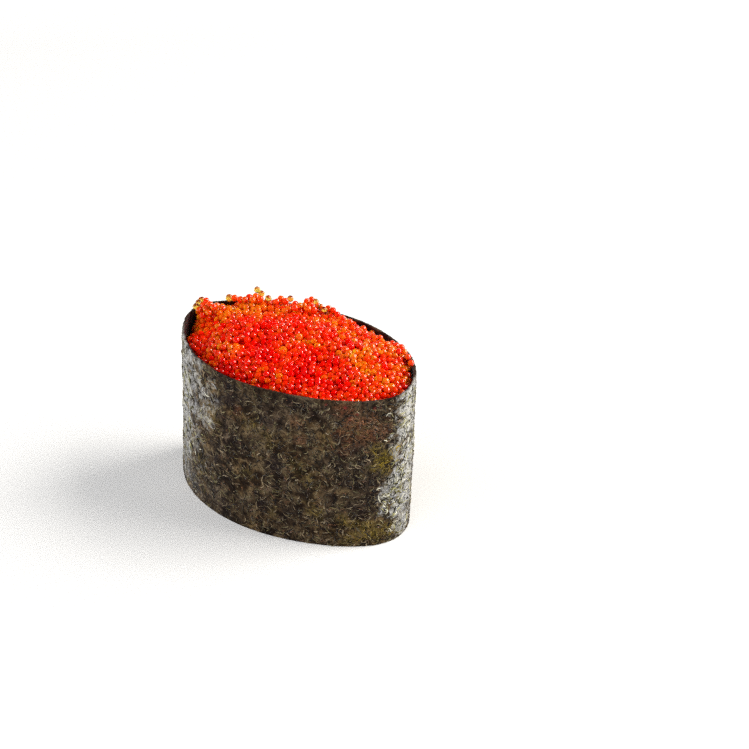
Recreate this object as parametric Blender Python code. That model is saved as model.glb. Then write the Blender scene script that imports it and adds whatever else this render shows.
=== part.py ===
"""Gunkan sushi with flying fish roe, in metres, +Z up.

A hand-pressed oval of rice stands inside a band of nori. The band is one
straight strip rolled once round the rice, and its outer end laps over its
inner end at the back. The band is taller than the rice, and the heap of roe
fills the well that this leaves and rises above the rim.

The origin is on the table under the middle of the piece. +X runs along the
oval's long axis and +Z is up. The rim is level, and the band leans a little.
"""

import math

import bmesh
import bpy
from mathutils import Vector, noise

# ---- the oval ---------------------------------------------------------------
HALF_LENGTH = 0.02538      # half of the band's outer length, before the skew
HALF_WIDTH = 0.01638       # half of the band's outer width
POINTED = 0.0424           # how far the oval's ends are pinched to a blunt point
EGG = 0.0147               # the +X end is this share wider than the middle
SKEW = 0.267               # the hand's squeeze: the two long sides slide apart
TURN = math.radians(-6.25)  # brings the skewed oval's long axis back on to X
LEAN = Vector((0.00072, 0.00062))  # the rim's middle against the foot's middle

# ---- the nori strip ---------------------------------------------------------
BAND_HEIGHT = 0.0320
NORI = 0.00042             # thickness of the moist sheet
LAP_FROM = math.radians(126)   # where the strip's inner end lies
LAP = math.radians(29)         # how far the outer end runs on past it
LAP_AIR = 0.00013          # air between the two layers of the lap
LAP_RAMP = math.radians(24)    # in which the inner layer comes out to the oval
WALL_WAVE = 0.00012        # gentle waviness of the standing wall
RIM_WAVE = 0.00010         # gentle waviness of the cut edge
TUCK = 0.00035             # the foot is drawn in at the left of the front
TUCK_AT = math.radians(262)
TUCK_HALF = math.radians(24)
STRIP_STEPS = 132
STRIP_ROWS = 4

# ---- the filling ------------------------------------------------------------
GAP = 0.0003               # between neighbouring pieces
RICE_HEIGHT = 0.0198       # of the rice at the wall
RICE_DOME = 0.0016         # of the rice's top, above its edge
RICE_FOOT = 0.0014         # rounding of the rice's lower edge
RICE_SHOULDER = 0.0020     # rounding of its upper edge
AROUND = 64                # steps round the rice and round the roe

# ---- the heap of roe --------------------------------------------------------
EDGE_LEVEL = -0.0005       # of the roe at the wall, against the rim
CROWN = 0.0029             # of the heap's middle, above that
CROWN_POWER = 2.5
CROWN_SHIFT = Vector((0.0010, 0.0012))
HEAP_RINGS = 20
ROUGH = 0.00042            # unevenness of the heap's surface
ROUGH_SPAN = 0.0042        # the size of that unevenness
# Where the heap stands off the band or climbs its rim:
# angle round the oval, half-width of the stretch, height, and how close to
# the wall it stays (a power of the distance from the middle).
AT_THE_WALL = [
    (33, 13, -0.0011, 9),     # a narrow slot at the right-hand end
    (53, 12, 0.0003, 8),
    (83, 17, -0.0021, 7),     # the long slot along the back, right of the middle
    (106, 8, 0.0004, 8),
    (121, 9, 0.0016, 7),      # roe standing on the rim
    (136, 9, 0.0012, 7),
    (152, 10, 0.0014, 7),
    (172, 7, -0.0018, 7),     # a small dark pocket
    (188, 9, 0.0022, 5),      # the clump that leans on the rim
    (211, 12, -0.0030, 6),    # the pocket at the left-hand end
    (238, 20, -0.0008, 8),
    (262, 16, -0.0006, 9),
    (330, 30, 0.0005, 9),
]
# Lumps and hollows of the heap: x, y, radius, height.
LUMPS = [
    (-0.0212, 0.0016, 0.0034, 0.0008),
    (-0.0160, 0.0072, 0.0042, 0.0006),
    (-0.0028, 0.0026, 0.0048, 0.0007),
    (0.0116, 0.0044, 0.0046, 0.0008),
    (0.0205, 0.0030, 0.0036, 0.0009),
    (0.0190, -0.0040, 0.0030, 0.0005),
    (-0.0105, 0.0098, 0.0036, 0.0006),
    (-0.0130, -0.0030, 0.0040, 0.0004),
    (-0.0062, -0.0052, 0.0038, -0.0007),
    (0.0066, -0.0028, 0.0036, -0.0008),
    (0.0140, -0.0060, 0.0030, -0.0005),
    (-0.0185, -0.0058, 0.0034, -0.0005),
]


def turned(x, y):
    return Vector((x * math.cos(TURN) - y * math.sin(TURN), x * math.sin(TURN) + y * math.cos(TURN)))


def oval(t):
    """The band's outer outline at angle t, round its own middle."""
    x = HALF_LENGTH * math.cos(t)
    y = HALF_WIDTH * (math.sin(t) - POINTED * math.sin(3 * t)) / (1 + POINTED)
    y *= 1 + EGG * math.cos(t)
    return turned(x + SKEW * y, y)


def inside(t, inset):
    """The outline moved inwards by inset, square to itself."""
    along = oval(t + 1e-4) - oval(t - 1e-4)
    outward = Vector((along.y, -along.x)).normalized()
    return oval(t) - outward * inset


def middle(z):
    """The oval's middle at height z: the band leans."""
    return LEAN * (z / BAND_HEIGHT - 0.5)


def smooth(x):
    x = min(1.0, max(0.0, x))
    return x * x * (3 - 2 * x)


def angle_between(a, b):
    return abs((a - b + math.pi) % (2 * math.pi) - math.pi)


def step_in(t):
    """How far inside the oval the strip's first layer lies at angle t >= LAP_FROM."""
    past = t - LAP_FROM - LAP
    return (NORI + LAP_AIR) * (1 - smooth(past / LAP_RAMP))


def tuck(t):
    away = angle_between(t, TUCK_AT) / TUCK_HALF
    return TUCK * math.exp(-away * away)


def filling_inset(t):
    """From the oval to the side of the rice and of the roe."""
    t = (t - LAP_FROM) % (2 * math.pi) + LAP_FROM
    before = t - LAP_FROM - 2 * math.pi
    step = max(step_in(t), (NORI + LAP_AIR) * smooth(1 + (before + math.radians(3)) / math.radians(12)))
    return NORI + GAP + WALL_WAVE + tuck(t) + step


def heap_height(t, s, point):
    """Height of the roe at angle t, at share s of the way to the wall, above the point."""
    z = BAND_HEIGHT + EDGE_LEVEL
    off = (point - CROWN_SHIFT * (1 - s)) - CROWN_SHIFT * 0.2
    z += CROWN * (1 - s**CROWN_POWER)
    for degrees, half, height, power in AT_THE_WALL:
        away = angle_between(t, math.radians(degrees)) / math.radians(half)
        z += height * math.exp(-away * away) * s**power
    for x, y, radius, height in LUMPS:
        away = (Vector((x, y)) - off).length / radius
        z += height * math.exp(-away * away)
    at = Vector((point.x, point.y, 0.0)) / ROUGH_SPAN
    z += ROUGH * noise.noise(at + Vector((3.1, 7.7, 1.9)))
    z += 0.5 * ROUGH * noise.noise(2.3 * at + Vector((9.2, 1.4, 5.5)))
    return z


def rice_top(s):
    """Height of the rice at share s of the way to its side."""
    shoulder = RICE_SHOULDER * smooth((s - 0.80) / 0.20) ** 2
    return RICE_HEIGHT + RICE_DOME * (1 - s * s) - shoulder


def skin(rings, close_first=True, close_last=True):
    """A closed body from rings of equal length, each a list of points, bottom to top."""
    bm = bmesh.new()
    rows = [[bm.verts.new(p) for p in ring] for ring in rings]
    count = len(rows[0])
    for low, high in zip(rows, rows[1:]):
        for i in range(count):
            j = (i + 1) % count
            bm.faces.new((low[i], low[j], high[j], high[i]))
    if close_first:
        bm.faces.new(list(reversed(rows[0])))
    if close_last:
        top = bm.verts.new(sum((v.co for v in rows[-1]), Vector()) / count)
        for i in range(count):
            bm.faces.new((rows[-1][i], rows[-1][(i + 1) % count], top))
    return bm


def place(name, bm, material, smooth_below=40):
    bmesh.ops.recalc_face_normals(bm, faces=bm.faces)
    mesh = bpy.data.meshes.new(name)
    bm.to_mesh(mesh)
    bm.free()
    mesh.materials.append(material)
    mesh.shade_smooth()
    mesh.set_sharp_from_angle(angle=math.radians(smooth_below))
    obj = bpy.data.objects.new(name, mesh)
    bpy.context.scene.collection.objects.link(obj)
    return obj


def finish_of(name, colour, roughness, transmission=0.0):
    material = bpy.data.materials.new(name)
    material.use_nodes = True
    shader = material.node_tree.nodes["Principled BSDF"]
    shader.inputs["Base Color"].default_value = (*colour, 1.0)
    shader.inputs["Roughness"].default_value = roughness
    shader.inputs["Metallic"].default_value = 0.0
    shader.inputs["Transmission Weight"].default_value = transmission
    return material


def build_band():
    """The strip's section at each height is a ribbon: out along its outer face and back along its inner face."""
    full = 2 * math.pi + LAP
    rings = []
    for row in range(STRIP_ROWS + 1):
        share = row / STRIP_ROWS
        outer, inner = [], []
        for i in range(STRIP_STEPS + 1):
            t = LAP_FROM + full * i / STRIP_STEPS
            depth = step_in(t)
            z = BAND_HEIGHT * share
            if row == STRIP_ROWS:
                z += RIM_WAVE * math.sin(3 * t + 0.6) * math.sin(t)
            # The waviness is the same in both layers of the lap, which keeps them apart.
            wave = WALL_WAVE * math.sin(5 * t + 2.2 * share) * math.sin(math.pi * share)
            wave += tuck(t) * (1 - share) ** 2
            at = middle(z)
            for points, more in ((outer, 0.0), (inner, NORI)):
                p = inside(t, depth + more + wave) + at
                points.append((p.x, p.y, z))
        rings.append(outer + inner[::-1])
    bm = bmesh.new()
    rows = [[bm.verts.new(p) for p in ring] for ring in rings]
    count = len(rows[0])
    for low, high in zip(rows, rows[1:]):
        for i in range(count):
            j = (i + 1) % count
            bm.faces.new((low[i], low[j], high[j], high[i]))
    for row in (rows[0], rows[-1]):
        for i in range(STRIP_STEPS):
            bm.faces.new((row[i], row[i + 1], row[count - 2 - i], row[count - 1 - i]))
    return place("nori_band", bm, finish_of("nori", (0.046, 0.036, 0.022), 0.42), 35)


def ring(s, z_of, extra=0.0):
    points = []
    for i in range(AROUND):
        t = 2 * math.pi * i / AROUND
        flat = inside(t, filling_inset(t) + extra) * s
        z = z_of(t, s, flat)
        p = flat + middle(z)
        points.append((p.x, p.y, z))
    return points


def build_rice():
    rings = []
    for k in range(4):
        a = math.radians(90 * k / 3)
        rings.append(ring(1.0, lambda t, s, p: RICE_FOOT * (1 - math.cos(a)), RICE_FOOT * (1 - math.sin(a))))
    rings.append(ring(1.0, lambda t, s, p: 0.5 * RICE_HEIGHT))
    for s in (1.0, 0.95, 0.88, 0.74, 0.5, 0.25):
        rings.append(ring(s, lambda t, s, p: rice_top(s)))
    return place("rice", skin(rings), finish_of("cooked_rice", (0.82, 0.79, 0.71), 0.38), 50)


def build_roe():
    rings = []
    for s in (0.25, 0.5, 0.74, 0.88, 0.95, 1.0):
        rings.append(ring(s, lambda t, s, p: rice_top(s) + GAP))
    for share in (0.35, 0.7):
        rings.append(
            ring(1.0, lambda t, s, p: rice_top(1.0) + GAP + share * (heap_height(t, 1.0, p) - rice_top(1.0) - GAP))
        )
    for k in range(HEAP_RINGS):
        s = math.sin(0.5 * math.pi * (1 - k / HEAP_RINGS)) ** 0.9
        rings.append(ring(s, heap_height))
    return place("tobiko", skin(rings), finish_of("flying_fish_roe", (0.80, 0.062, 0.012), 0.16, 0.35), 60)


def main():
    for obj in list(bpy.data.objects):
        bpy.data.objects.remove(obj, do_unlink=True)
    build_band()
    build_rice()
    build_roe()


main()
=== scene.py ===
"""Looks of the tobiko nigiri: nori with its shreds, wet flying fish roe, pressed rice."""

import math
import warnings

import bmesh
import bpy
import numpy as np
from mathutils import Matrix, Vector
from mathutils.bvhtree import BVHTree


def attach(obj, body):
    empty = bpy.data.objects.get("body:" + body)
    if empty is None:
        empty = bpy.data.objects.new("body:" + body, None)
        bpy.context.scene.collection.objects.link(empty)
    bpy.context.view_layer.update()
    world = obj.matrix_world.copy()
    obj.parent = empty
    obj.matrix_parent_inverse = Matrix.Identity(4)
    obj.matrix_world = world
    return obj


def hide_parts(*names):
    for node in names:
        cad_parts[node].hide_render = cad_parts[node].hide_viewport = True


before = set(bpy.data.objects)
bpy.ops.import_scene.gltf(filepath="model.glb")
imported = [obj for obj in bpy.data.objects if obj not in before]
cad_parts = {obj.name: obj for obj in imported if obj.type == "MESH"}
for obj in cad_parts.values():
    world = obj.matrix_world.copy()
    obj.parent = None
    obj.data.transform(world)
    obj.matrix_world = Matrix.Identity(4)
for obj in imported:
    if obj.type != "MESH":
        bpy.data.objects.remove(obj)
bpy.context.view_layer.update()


MM = 0.001

# The band's sizes, as the CAD makes it, in millimetres.
HALF_LENGTH, HALF_WIDTH = 25.38, 16.38
POINTED, EGG, SKEW = 0.0424, 0.0147, 0.267
TURN = math.radians(-6.25)
LEAN = np.array([0.72, 0.62])
BAND_HEIGHT, NORI = 32.0, 0.42
LAP_FROM, LAP, LAP_AIR, LAP_RAMP = math.radians(126), math.radians(29), 0.13, math.radians(24)
WALL_WAVE, RIM_WAVE = 0.12, 0.10
TUCK, TUCK_AT, TUCK_HALF = 0.35, math.radians(262), math.radians(24)


# ---------------------------------------------------------------- shape helpers
def oval(t):
    x = HALF_LENGTH * np.cos(t)
    y = HALF_WIDTH * (np.sin(t) - POINTED * np.sin(3 * t)) / (1 + POINTED)
    y = y * (1 + EGG * np.cos(t))
    x = x + SKEW * y
    c, s = math.cos(TURN), math.sin(TURN)
    return np.stack([x * c - y * s, x * s + y * c], -1)


def outward(t):
    along = oval(t + 1e-4) - oval(t - 1e-4)
    n = np.stack([along[..., 1], -along[..., 0]], -1)
    return n / np.linalg.norm(n, axis=-1, keepdims=True)


def middle(z):
    return LEAN * (np.asarray(z)[..., None] / BAND_HEIGHT - 0.5)


def smooth(x):
    x = np.clip(x, 0.0, 1.0)
    return x * x * (3 - 2 * x)


def angle_between(a, b):
    return np.abs((a - b + math.pi) % (2 * math.pi) - math.pi)


def step_in(t):
    return (NORI + LAP_AIR) * (1 - smooth((t - LAP_FROM - LAP) / LAP_RAMP))


def tuck(t):
    return TUCK * np.exp(-((angle_between(t, TUCK_AT) / TUCK_HALF) ** 2))


class Field:
    """Smooth seeded noise in three dimensions, about -1 to 1, on whole arrays."""

    def __init__(self, seed):
        self.grid = np.random.default_rng(seed).uniform(-1, 1, (32, 32, 32)).astype(np.float32)

    def __call__(self, p, span):
        q = np.asarray(p, float) / span
        low = np.floor(q).astype(int)
        f = q - low
        f = f * f * (3 - 2 * f)
        out = 0.0
        for dx in (0, 1):
            for dy in (0, 1):
                for dz in (0, 1):
                    w = (f[..., 0] if dx else 1 - f[..., 0]) * (f[..., 1] if dy else 1 - f[..., 1]) * (f[..., 2] if dz else 1 - f[..., 2])
                    out = out + w * self.grid[(low[..., 0] + dx) % 32, (low[..., 1] + dy) % 32, (low[..., 2] + dz) % 32]
        return out * 1.4


def new_mesh(name, points_mm, triangles):
    """A mesh object from arrays, points in millimetres."""
    mesh = bpy.data.meshes.new(name)
    mesh.vertices.add(len(points_mm))
    mesh.vertices.foreach_set("co", (np.asarray(points_mm) * MM).astype(np.float32).ravel())
    width = triangles.shape[1]
    mesh.loops.add(len(triangles) * width)
    mesh.loops.foreach_set("vertex_index", triangles.astype(np.int32).ravel())
    mesh.polygons.add(len(triangles))
    mesh.polygons.foreach_set("loop_start", np.arange(0, len(triangles) * width, width, dtype=np.int32))
    mesh.update(calc_edges=True)
    mesh.validate()
    mesh.shade_smooth()
    obj = bpy.data.objects.new(name, mesh)
    bpy.context.scene.collection.objects.link(obj)
    return obj


def give(obj, name, values):
    """A value or a colour at each vertex, which the material reads."""
    values = np.asarray(values, np.float32)
    if values.ndim == 1:
        obj.data.attributes.new(name, "FLOAT", "POINT").data.foreach_set("value", values)
    else:
        rgba = np.ones((len(values), 4), np.float32)
        rgba[:, :3] = values
        obj.data.attributes.new(name, "FLOAT_COLOR", "POINT").data.foreach_set("color", rgba.ravel())


def ball(subdivisions):
    bm = bmesh.new()
    bmesh.ops.create_icosphere(bm, subdivisions=subdivisions, radius=1.0)
    v = np.array([list(p.co) for p in bm.verts])
    f = np.array([[q.index for q in p.verts] for p in bm.faces])
    bm.free()
    return v, f


def turns(rng, n):
    """n random rotations."""
    q = rng.normal(size=(n, 4))
    q /= np.linalg.norm(q, axis=1, keepdims=True)
    w, x, y, z = q.T
    return np.stack([
        np.stack([1 - 2 * (y * y + z * z), 2 * (x * y - z * w), 2 * (x * z + y * w)], -1),
        np.stack([2 * (x * y + z * w), 1 - 2 * (x * x + z * z), 2 * (y * z - x * w)], -1),
        np.stack([2 * (x * z - y * w), 2 * (y * z + x * w), 1 - 2 * (x * x + y * y)], -1),
    ], 1)


# ---------------------------------------------------------------- materials
class Nodes:
    """A short way of writing a node tree."""

    def __init__(self, name):
        self.material = bpy.data.materials.new(name)
        self.material.use_nodes = True
        self.tree = self.material.node_tree
        self.shader = self.tree.nodes["Principled BSDF"]

    def add(self, kind, **settings):
        node = self.tree.nodes.new(kind)
        for key, value in settings.items():
            setattr(node, key, value)
        return node

    def link(self, a, b):
        self.tree.links.new(a, b)

    def put(self, socket, value):
        if hasattr(value, "is_output") or isinstance(value, bpy.types.NodeSocket):
            self.link(value, socket)
        else:
            socket.default_value = value

    def object_coords(self):
        return self.add("ShaderNodeTexCoord").outputs["Object"]

    def scaled(self, vector, scale, offset=(0, 0, 0)):
        node = self.add("ShaderNodeMapping")
        self.link(vector, node.inputs["Vector"])
        node.inputs["Scale"].default_value = (scale,) * 3 if isinstance(scale, (int, float)) else scale
        node.inputs["Location"].default_value = offset
        return node.outputs["Vector"]

    def noise(self, vector, scale, detail=3.0, rough=0.55, distortion=0.0, kind="FBM"):
        node = self.add("ShaderNodeTexNoise", noise_type=kind)
        self.link(vector, node.inputs["Vector"])
        node.inputs["Scale"].default_value = scale
        node.inputs["Detail"].default_value = detail
        node.inputs["Roughness"].default_value = rough
        node.inputs["Distortion"].default_value = distortion
        return node

    def ramp(self, value, stops, interpolation="LINEAR"):
        node = self.add("ShaderNodeValToRGB")
        self.link(value, node.inputs["Fac"])
        ramp = node.color_ramp
        ramp.interpolation = interpolation
        while len(ramp.elements) < len(stops):
            ramp.elements.new(0.5)
        for element, (at, colour) in zip(ramp.elements, stops):
            element.position = at
            element.color = (*colour, 1.0) if len(colour) == 3 else colour
        return node.outputs["Color"]

    def math(self, operation, a, b=0.0, clamp=False):
        node = self.add("ShaderNodeMath", operation=operation, use_clamp=clamp)
        self.put(node.inputs[0], a)
        self.put(node.inputs[1], b)
        return node.outputs["Value"]

    def span(self, value, low, high, to_low=0.0, to_high=1.0):
        node = self.add("ShaderNodeMapRange")
        self.link(value, node.inputs["Value"])
        for key, number in (("From Min", low), ("From Max", high), ("To Min", to_low), ("To Max", to_high)):
            node.inputs[key].default_value = number
        return node.outputs["Result"]

    def mix(self, factor, a, b, blend="MIX"):
        node = self.add("ShaderNodeMix", data_type="RGBA", blend_type=blend)
        self.put(node.inputs[0], factor)
        for socket, value in ((node.inputs[6], a), (node.inputs[7], b)):
            self.put(socket, (*value, 1.0) if isinstance(value, tuple) and len(value) == 3 else value)
        return node.outputs[2]

    def attribute(self, name, output="Color"):
        return self.add("ShaderNodeAttribute", attribute_name=name).outputs[output]

    def bump(self, height, strength, distance, normal=None):
        node = self.add("ShaderNodeBump")
        node.inputs["Strength"].default_value = strength
        node.inputs["Distance"].default_value = distance
        self.link(height, node.inputs["Height"])
        if normal is not None:
            self.link(normal, node.inputs["Normal"])
        return node.outputs["Normal"]

    def set(self, **values):
        for key, value in values.items():
            self.put(self.shader.inputs[key.replace("_", " ")], value)


def nori_material():
    n = Nodes("nori")
    at = n.object_coords()
    big = n.noise(at, 130, 3, 0.55).outputs["Fac"]
    patch = n.noise(at, 480, 4, 0.62, 0.5).outputs["Fac"]
    fine = n.noise(at, 1900, 4, 0.65, 0.8).outputs["Fac"]
    felt = n.noise(at, 800, 3, 0.6, 1.6, "RIDGED_MULTIFRACTAL").outputs["Fac"]
    base = n.ramp(patch, [(0.36, (0.011, 0.0065, 0.0042)), (0.45, (0.026, 0.0175, 0.0110)), (0.54, (0.062, 0.044, 0.026)), (0.64, (0.130, 0.098, 0.058))])
    hue = n.ramp(big, [(0.34, (0.86, 0.80, 0.92)), (0.46, (1.02, 0.98, 0.95)), (0.58, (1.22, 1.06, 0.85)), (0.70, (1.12, 1.14, 0.68))])
    colour = n.mix(1.0, base, hue, "MULTIPLY")
    threads = n.span(felt, 1.05, 1.5)
    colour = n.mix(n.math("MULTIPLY", threads, 0.65), colour, (0.210, 0.160, 0.095))
    # Painted shade: near black where the fine relief is lowest.
    pit_shade = n.span(fine, 0.40, 0.47, 1.0, 0.0)
    colour = n.mix(n.math("MULTIPLY", pit_shade, 0.85), colour, (0.007, 0.005, 0.004))
    # Places where the sheet is rusty, olive or nearly black, and where it is pale: partly a bloom on its surface,
    # partly painted sheen.
    speck = n.span(fine, 0.40, 0.60)
    colour = n.mix(n.math("MULTIPLY", n.attribute("rust", "Fac"), n.math("MULTIPLY", speck, 0.75)), colour, (0.200, 0.078, 0.040))
    colour = n.mix(n.math("MULTIPLY", n.attribute("olive", "Fac"), n.math("MULTIPLY", speck, 0.80)), colour, (0.215, 0.155, 0.022))
    # Nearly black patches, some of them painted shade low on the front.
    colour = n.mix(n.math("MULTIPLY", n.attribute("soot_and_shade", "Fac"), 0.75), colour, (0.012, 0.008, 0.010))
    # The pale bloom and painted sheen lie in flakes, with the dark sheet between them.
    bloom_and_sheen = n.attribute("bloom_and_sheen", "Fac")
    flake = n.math("MULTIPLY", n.math("SUBTRACT", n.noise(at, 620, 5, 0.62, 1.6).outputs["Fac"], 0.5), 2.1)
    cover = n.math("MULTIPLY", n.span(n.math("ADD", bloom_and_sheen, flake), 0.20, 0.82, 0.0, 0.88), n.span(bloom_and_sheen, 0.04, 0.22))
    colour = n.mix(cover, colour, n.ramp(patch, [(0.32, (0.27, 0.265, 0.27)), (0.47, (0.42, 0.415, 0.405)), (0.66, (0.57, 0.56, 0.505))]))
    colour = n.mix(n.attribute("stain", "Fac"), colour, (0.260, 0.030, 0.030))
    # The inner face is stained by the roe.
    colour = n.mix(n.attribute("inside", "Fac"), colour, n.ramp(patch, [(0.3, (0.020, 0.0025, 0.0020)), (0.7, (0.060, 0.0110, 0.0080))]))
    n.set(Base_Color=colour, Roughness=n.span(patch, 0.3, 0.7, 0.28, 0.46), IOR=1.45, Specular_IOR_Level=0.02, Sheen_Weight=0.48, Sheen_Roughness=0.28)
    height = n.math("ADD", n.math("MULTIPLY", felt, 0.45), n.math("MULTIPLY", fine, 0.8))
    n.set(Normal=n.bump(height, 0.9, 0.00011, n.bump(patch, 0.9, 0.00026)))
    return n.material


def shred_material():
    n = Nodes("nori_shreds")
    at = n.object_coords()
    tone = n.noise(at, 1600, 3, 0.6).outputs["Fac"]
    colour = n.mix(1.0, n.attribute("tint"), n.ramp(tone, [(0.3, (0.55, 0.55, 0.55)), (0.7, (1.3, 1.3, 1.3))]), "MULTIPLY")
    n.set(Base_Color=colour, Roughness=n.span(tone, 0.3, 0.7, 0.28, 0.5), IOR=1.45, Specular_IOR_Level=0.06, Sheen_Weight=0.32, Sheen_Roughness=0.28)
    n.set(Normal=n.bump(tone, 0.5, 0.00004))
    return n.material


def roe_material(name, clear=0.0, gloss=0.76):
    """Eggs: light soaks through them, and more of it goes straight through the clear ones."""
    n = Nodes(name)
    at = n.object_coords()
    cloud = n.noise(at, 1100, 2, 0.5).outputs["Fac"]
    colour = n.mix(1.0, n.attribute("tint"), n.ramp(cloud, [(0.3, (0.98, 0.70, 0.7)), (0.7, (1.0, 1.25, 1.1))]), "MULTIPLY")
    n.set(Base_Color=colour, Roughness=n.attribute("dull", "Fac"), IOR=1.50, Specular_IOR_Level=gloss)
    n.set(Transmission_Weight=clear, Subsurface_Weight=1.0, Subsurface_Scale=0.0016)
    n.shader.inputs["Subsurface Radius"].default_value = (1.0, 0.7, 0.5)
    return n.material


def core_material():
    n = Nodes("roe_core")
    at = n.object_coords()
    beads = n.add("ShaderNodeTexVoronoi")
    n.link(at, beads.inputs["Vector"])
    beads.inputs["Scale"].default_value = 760
    depth = beads.outputs["Distance"]
    colour = n.ramp(depth, [(0.0, (0.95, 0.03, 0.003)), (0.45, (0.94, 0.008, 0.001)), (0.8, (0.90, 0.003, 0.0006))])
    n.set(Base_Color=colour, Roughness=0.25, IOR=1.37, Specular_IOR_Level=0.15)
    n.set(Normal=n.bump(depth, 1.0, 0.0004))
    return n.material


def rice_material():
    n = Nodes("cooked_rice")
    at = n.object_coords()
    cloud = n.noise(at, 500, 3, 0.5).outputs["Fac"]
    colour = n.ramp(cloud, [(0.3, (0.74, 0.70, 0.60)), (0.7, (0.88, 0.86, 0.80))])
    n.set(Base_Color=colour, Roughness=0.32, IOR=1.45, Subsurface_Weight=0.35, Subsurface_Scale=0.001)
    n.shader.inputs["Subsurface Radius"].default_value = (1.0, 0.9, 0.7)
    n.set(Normal=n.bump(n.noise(at, 2200, 3, 0.5).outputs["Fac"], 0.25, 0.00005))
    return n.material


def floor_material():
    n = Nodes("floor")
    at = n.object_coords()
    # The lamps light only the middle of the floor, so that it glows a little farther off, as a lit studio floor would.
    n.set(Emission_Color=(0.95, 0.95, 0.95, 1.0), Emission_Strength=n.span(n.attribute("far", "Fac"), 0.5, 1.0, 0.10, 0.90))
    n.set(Base_Color=n.ramp(n.noise(at, 6, 3).outputs["Fac"], [(0.3, (0.91, 0.91, 0.91)), (0.7, (0.94, 0.94, 0.94))]), Roughness=0.6, Specular_IOR_Level=0.2)
    return n.material


# ---------------------------------------------------------------- the camera, the floor and the light
def place_camera():
    azimuth, elevation = math.radians(40.35), math.radians(32.0)
    yaw, pitch = math.radians(38.363), math.radians(30.998)
    target = Vector((0.00036, 0.00031, 0.016))
    away = Vector((math.sin(azimuth) * math.cos(elevation), -math.cos(azimuth) * math.cos(elevation), math.sin(elevation)))
    forward = Vector((-math.sin(yaw) * math.cos(pitch), math.cos(yaw) * math.cos(pitch), -math.sin(pitch)))
    right = Vector((math.cos(yaw), math.sin(yaw), 0.0))
    up = right.cross(forward)
    data = bpy.data.cameras.new("camera")
    data.sensor_width = 36.0
    data.lens = 2595.3 * 36.0 / 749.0
    data.clip_start = 0.01
    camera = bpy.data.objects.new("camera", data)
    turn = Matrix((right, up, -forward)).transposed().to_4x4()
    camera.matrix_world = Matrix.Translation(target + 0.5 * away) @ turn
    bpy.context.scene.collection.objects.link(camera)
    bpy.context.scene.camera = camera
    toward = Vector((math.sin(azimuth), -math.cos(azimuth), 0.0))
    return right, toward


def area_light(name, direction, distance, width, height, energy, colour=(1, 1, 1), shows=True):
    data = bpy.data.lights.new(name, "AREA")
    data.shape = "RECTANGLE"
    data.size, data.size_y = width, height
    data.energy = energy
    data.color = colour
    lamp = bpy.data.objects.new(name, data)
    direction = Vector(direction).normalized()
    lamp.location = direction * distance + Vector((0, 0, 0.02))
    lamp.rotation_euler = direction.to_track_quat("Z", "Y").to_euler()
    lamp.visible_glossy = shows
    bpy.context.scene.collection.objects.link(lamp)
    return lamp


def make_stage():
    right, toward = place_camera()
    up = Vector((0, 0, 1))
    bm = bmesh.new()
    bmesh.ops.create_grid(bm, x_segments=8, y_segments=8, size=2.5)
    mesh = bpy.data.meshes.new("floor")
    bm.to_mesh(mesh)
    bm.free()
    floor = bpy.data.objects.new("floor", mesh)
    floor.location = (0, 0, -0.00003)
    give(floor, "far", np.array([min(1.0, v.co.length / 0.625) for v in mesh.vertices]))
    mesh.materials.append(floor_material())
    bpy.context.scene.collection.objects.link(floor)
    area_light("key", 0.80 * right - 0.10 * toward + 0.60 * up, 0.55, 0.46, 0.44, 4.95, (1.0, 0.97, 0.91))
    area_light("window_left", -0.85 * right + 0.10 * toward + 0.50 * up, 0.8, 0.8, 0.8, 4.8, shows=False)
    area_light("fill_front", -0.45 * right + 0.75 * toward + 0.55 * up, 0.9, 0.7, 0.7, 2.0, shows=False)
    world = bpy.data.worlds.new("world")
    bpy.context.scene.world = world
    world.use_nodes = True
    tree = world.node_tree
    # A pale backdrop all round, and a dim ceiling.
    where = tree.nodes.new("ShaderNodeTexCoord")
    split = tree.nodes.new("ShaderNodeSeparateXYZ")
    ramp = tree.nodes.new("ShaderNodeValToRGB")
    ramp.color_ramp.elements[0].position, ramp.color_ramp.elements[0].color = 0.10, (0.95, 0.95, 0.95, 1)
    ramp.color_ramp.elements[1].position, ramp.color_ramp.elements[1].color = 0.22, (0.07, 0.07, 0.07, 1)
    tree.links.new(where.outputs["Generated"], split.inputs[0])
    tree.links.new(split.outputs["Z"], ramp.inputs["Fac"])
    tree.links.new(ramp.outputs["Color"], tree.nodes["Background"].inputs["Color"])
    tree.nodes["Background"].inputs["Strength"].default_value = 1.0
    bpy.context.scene.view_settings.view_transform = "Standard"
    # The smallest glints and fibres are a pixel or two across, and denoising would wipe them away.
    bpy.context.scene.cycles.use_denoising = False
    # Red light goes on from egg to egg many times before it is lost.
    bpy.context.scene.cycles.diffuse_bounces = 10


# ---------------------------------------------------------------- the nori
RELIEF = [Field(11), Field(12), Field(13)]


def relief(p):
    """How far the sheet's surface stands out of its plain shape, in millimetres."""
    a = 0.085 * RELIEF[0](p, 4.6) + 0.055 * RELIEF[1](p, 1.5)
    b = 1 - np.abs(RELIEF[2](p, 0.85))
    return a + 0.075 * (b - 0.6)
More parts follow.
